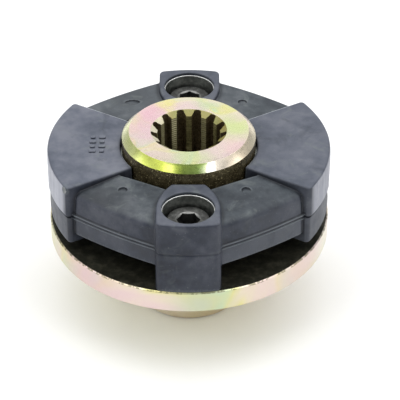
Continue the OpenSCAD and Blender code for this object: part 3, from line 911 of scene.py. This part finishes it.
def make_cap_screw(name, node, origin, axis, turn, sl, thread_top=-3.0):
    hd, hh, sd, hx = 6.5, 8.0, 4.0, 6.0
    per = 24
    th = hex_angles(per)
    n = len(th)
    rows = []

    def row(r, z):
        rows.append((np.full(n, float(r)) if np.isscalar(r) else r, np.full(n, float(z))))
    # thread from the tip up to the plain shank
    pitch = 1.25
    z = -sl
    row(3.15, z)
    steps = int((sl + thread_top) / (pitch / 10))
    for k in range(1, steps + 1):
        z = -sl + (thread_top + sl) * k / steps
        ph = (z / pitch - th / (2 * math.pi)) % 1.0
        depth = 0.68 * np.clip(1.2 * np.abs(2 * ph - 1) - 0.1, 0, 1)
        lead = np.clip((z + sl) / 1.0, 0, 1) * 0.8 + 3.2
        row(np.minimum(sd - depth, lead), z)
    row(sd - 0.05, thread_top + 0.3)
    row(sd - 0.05, -0.4)
    row(sd + 0.1, -0.02)
    row(sd + 0.3, 0.0)
    row(hd - 0.35, 0.0)
    # knurled side of the head
    knurl = 0.07 * np.abs(np.sin(th * 30))
    row(hd - 0.1, 0.15)
    for zz in (0.5, 2.0, 3.5, 5.0, 6.5, 6.9):
        row(hd - 0.02 - knurl, zz)
    row(hd - 0.06, 7.15)
    row(hd - 0.08, 7.45)
    row(hd - 0.22, 7.80)
    row(hd - 0.45, 7.97)
    row(hd - 0.65, hh)
    row(5.2, hh)
    # chamfer and socket
    hexa = hex_radius(th, hx)
    for r, zz in ((3.62, hh), (3.56, hh - 0.02)):
        row(r, zz)
    for k in range(1, 7):
        t = k / 6
        row(np.maximum(hexa, 3.56 - 0.56 * t), hh - 0.02 - 0.3 * t)
    row(hexa, hh - 2.0)
    row(hexa - 0.02, hh - 3.9)
    row(hexa - 0.2, hh - 4.05)
    row(2.6, hh - 4.1)
    row(1.2, hh - 4.6)
    row(0.25, hh - 4.9)
    R = np.array([r for r, _ in rows])
    Z = np.array([zz for _, zz in rows])
    v, f = ring_stack(R, Z, th, False)
    v = place(v, origin, axis, turn)
    o = add_mesh(name, v, f, [node], SCREW)
    fix_normals(o)
    o.data.set_sharp_from_angle(angle=math.radians(38))
    return o


def make_set_screw():
    th = hex_angles(16)
    n = len(th)
    rows = []

    def row(r, z):
        rows.append((np.full(n, float(r)) if np.isscalar(r) else r, np.full(n, float(z))))
    ln = 4.0
    row(1.5, -ln + 0.5)
    row(1.7, -ln + 0.1)
    row(1.9, -ln)
    steps = 34
    for k in range(steps + 1):
        z = -ln + 0.05 + (ln - 0.25) * k / steps
        ph = (z - th / (2 * math.pi)) % 1.0
        depth = 0.55 * np.clip(1.2 * np.abs(2 * ph - 1) - 0.1, 0, 1)
        lead = np.minimum(2.3 + (z + ln) * 1.0, 2.65 + (-z) * 1.0)
        row(np.minimum(3.0 - depth, lead), z)
    row(2.6, 0)
    hexa = hex_radius(th, 3.0)
    row(1.85, 0)
    for k in range(1, 5):
        row(np.maximum(hexa, 1.85 - 0.35 * k / 4), -0.3 * k / 4)
    row(hexa, -1.2)
    row(hexa - 0.02, -2.1)
    row(1.2, -2.25)
    row(0.2, -2.6)
    R = np.array([r for r, _ in rows])
    Z = np.array([zz for _, zz in rows])
    v, f = ring_stack(R, Z, th, False)
    v = place(v, (0, LOW_R - 0.3, 10), (0, 1, 0))
    o = add_mesh("set_screw_body", v, f, ["set_screw"], BLACK)
    fix_normals(o)
    o.data.set_sharp_from_angle(angle=math.radians(38))
    return o


make_rubber()
make_bars()
make_hub()
make_flange()
make_insert("front_axial_insert", "axial_insert_front", True, -1)
make_insert("rear_axial_insert", "axial_insert_rear", True, 1)
make_insert("left_radial_insert", "radial_insert_left", False, -1)
make_insert("right_radial_insert", "radial_insert_right", False, 1)
make_cap_screw("front_axial_screw", "axial_screw_front", (0, -BOLT_R, ZF + SEAT_H), (0, 0, 1), 0, 18.0)
make_cap_screw("rear_axial_screw", "axial_screw_rear", (0, BOLT_R, ZF + SEAT_H), (0, 0, 1), 30, 18.0)
make_cap_screw("right_radial_screw", "radial_screw_right", (RADIAL_SEAT, 0, ZF + PART), (1, 0, 0), 10, 14.0)
make_cap_screw("left_radial_screw", "radial_screw_left", (-RADIAL_SEAT, 0, ZF + PART), (-1, 0, 0), 20, 14.0)
make_set_screw()

# ---------------------------------------------------------------- floor, light, camera
k = Nodes("floor_paper")
k.put(k.b.inputs["Base Color"], k.mix(k.noise(8, 3), (0.92, 0.92, 0.92), (0.94, 0.94, 0.938)))
k.put(k.b.inputs["Roughness"], k.band(k.noise(60, 3), 0.3, 0.7, 0.75, 0.85, False))
fv, ff = [], []
N = 24
for i in range(N + 1):
    for j in range(N + 1):
        fv.append((-3 + 6 * i / N, -3 + 6 * j / N, 0.0))
for i in range(N):
    for j in range(N):
        a = i * (N + 1) + j
        ff.append((a, a + N + 1, a + N + 2, a + 1))
me = bpy.data.meshes.new("floor")
me.from_pydata(fv, [], ff)
floor = bpy.data.objects.new("floor", me)
bpy.context.scene.collection.objects.link(floor)
me.materials.append(k.m)


def area(name, loc, target, sx, sy, power, colour=(1, 1, 1)):
    li = bpy.data.lights.new(name, "AREA")
    li.shape, li.size, li.size_y, li.energy, li.color = "RECTANGLE", sx, sy, power, colour
    o = bpy.data.objects.new(name, li)
    bpy.context.scene.collection.objects.link(o)
    o.location = loc
    o.rotation_mode = "QUATERNION"
    o.rotation_quaternion = (Vector(target) - Vector(loc)).to_track_quat("-Z", "Y")
    return o


area("overhead", (0.0, 0.22, 1.5), (0, 0.14, 0.0), 2.8, 1.7, 27)
area("front_left_softbox", (-0.72, -0.75, 1.15), (0, 0, 0.04), 0.45, 0.45, 2.6)
area("front_right_softbox", (0.72, -0.72, 1.15), (0, 0, 0.04), 0.45, 0.45, 2.6)
area("left_softbox", (-1.3, -0.25, 0.60), (0, 0, 0.04), 0.9, 0.8, 3.6)
area("right_softbox", (1.3, -0.25, 0.60), (0, 0, 0.04), 0.9, 0.8, 3.4)
area("back_softbox", (0.0, 1.9, 0.95), (0, 0, 0.04), 2.4, 1.0, 4.2)

world = bpy.data.worlds.new("studio")
bpy.context.scene.world = world
world.use_nodes = True
world.node_tree.nodes["Background"].inputs[0].default_value = (0.96, 0.98, 1.0, 1)
world.node_tree.nodes["Background"].inputs[1].default_value = 0.42

F_PX, DIST, EL, AZ, ROLL, YAW, PITCH = 2154.89, 652.76, 34.820, 0.486, 0.334, -0.289, -0.861
el, az, roll, yaw, pitch = (math.radians(a) for a in (EL, AZ, ROLL, YAW, PITCH))
back = np.array([math.sin(az) * math.cos(el), -math.cos(az) * math.cos(el), math.sin(el)])
eye = np.array([0, 0, 45.5]) + back * DIST
fwd = -back
right = np.cross(fwd, [0, 0, 1])
right /= np.linalg.norm(right)
up = np.cross(right, fwd)
fwd, right = math.cos(yaw) * fwd - math.sin(yaw) * right, math.cos(yaw) * right + math.sin(yaw) * fwd
fwd, up = math.cos(pitch) * fwd + math.sin(pitch) * up, math.cos(pitch) * up - math.sin(pitch) * fwd
right, up = math.cos(roll) * right - math.sin(roll) * up, math.cos(roll) * up + math.sin(roll) * right
cam_data = bpy.data.cameras.new("camera")
cam_data.sensor_width = 36
cam_data.lens = F_PX / 400 * 36
cam_data.clip_start, cam_data.clip_end = 0.01, 20
cam = bpy.data.objects.new("camera", cam_data)
bpy.context.scene.collection.objects.link(cam)
m = Matrix.Identity(4)
for i, axis in enumerate((right, up, -fwd)):
    for j in range(3):
        m[j][i] = axis[j]
for j in range(3):
    m[j][3] = eye[j] * 0.001
cam.matrix_world = m
bpy.context.scene.camera = cam
bpy.context.scene.view_settings.view_transform = "Standard"
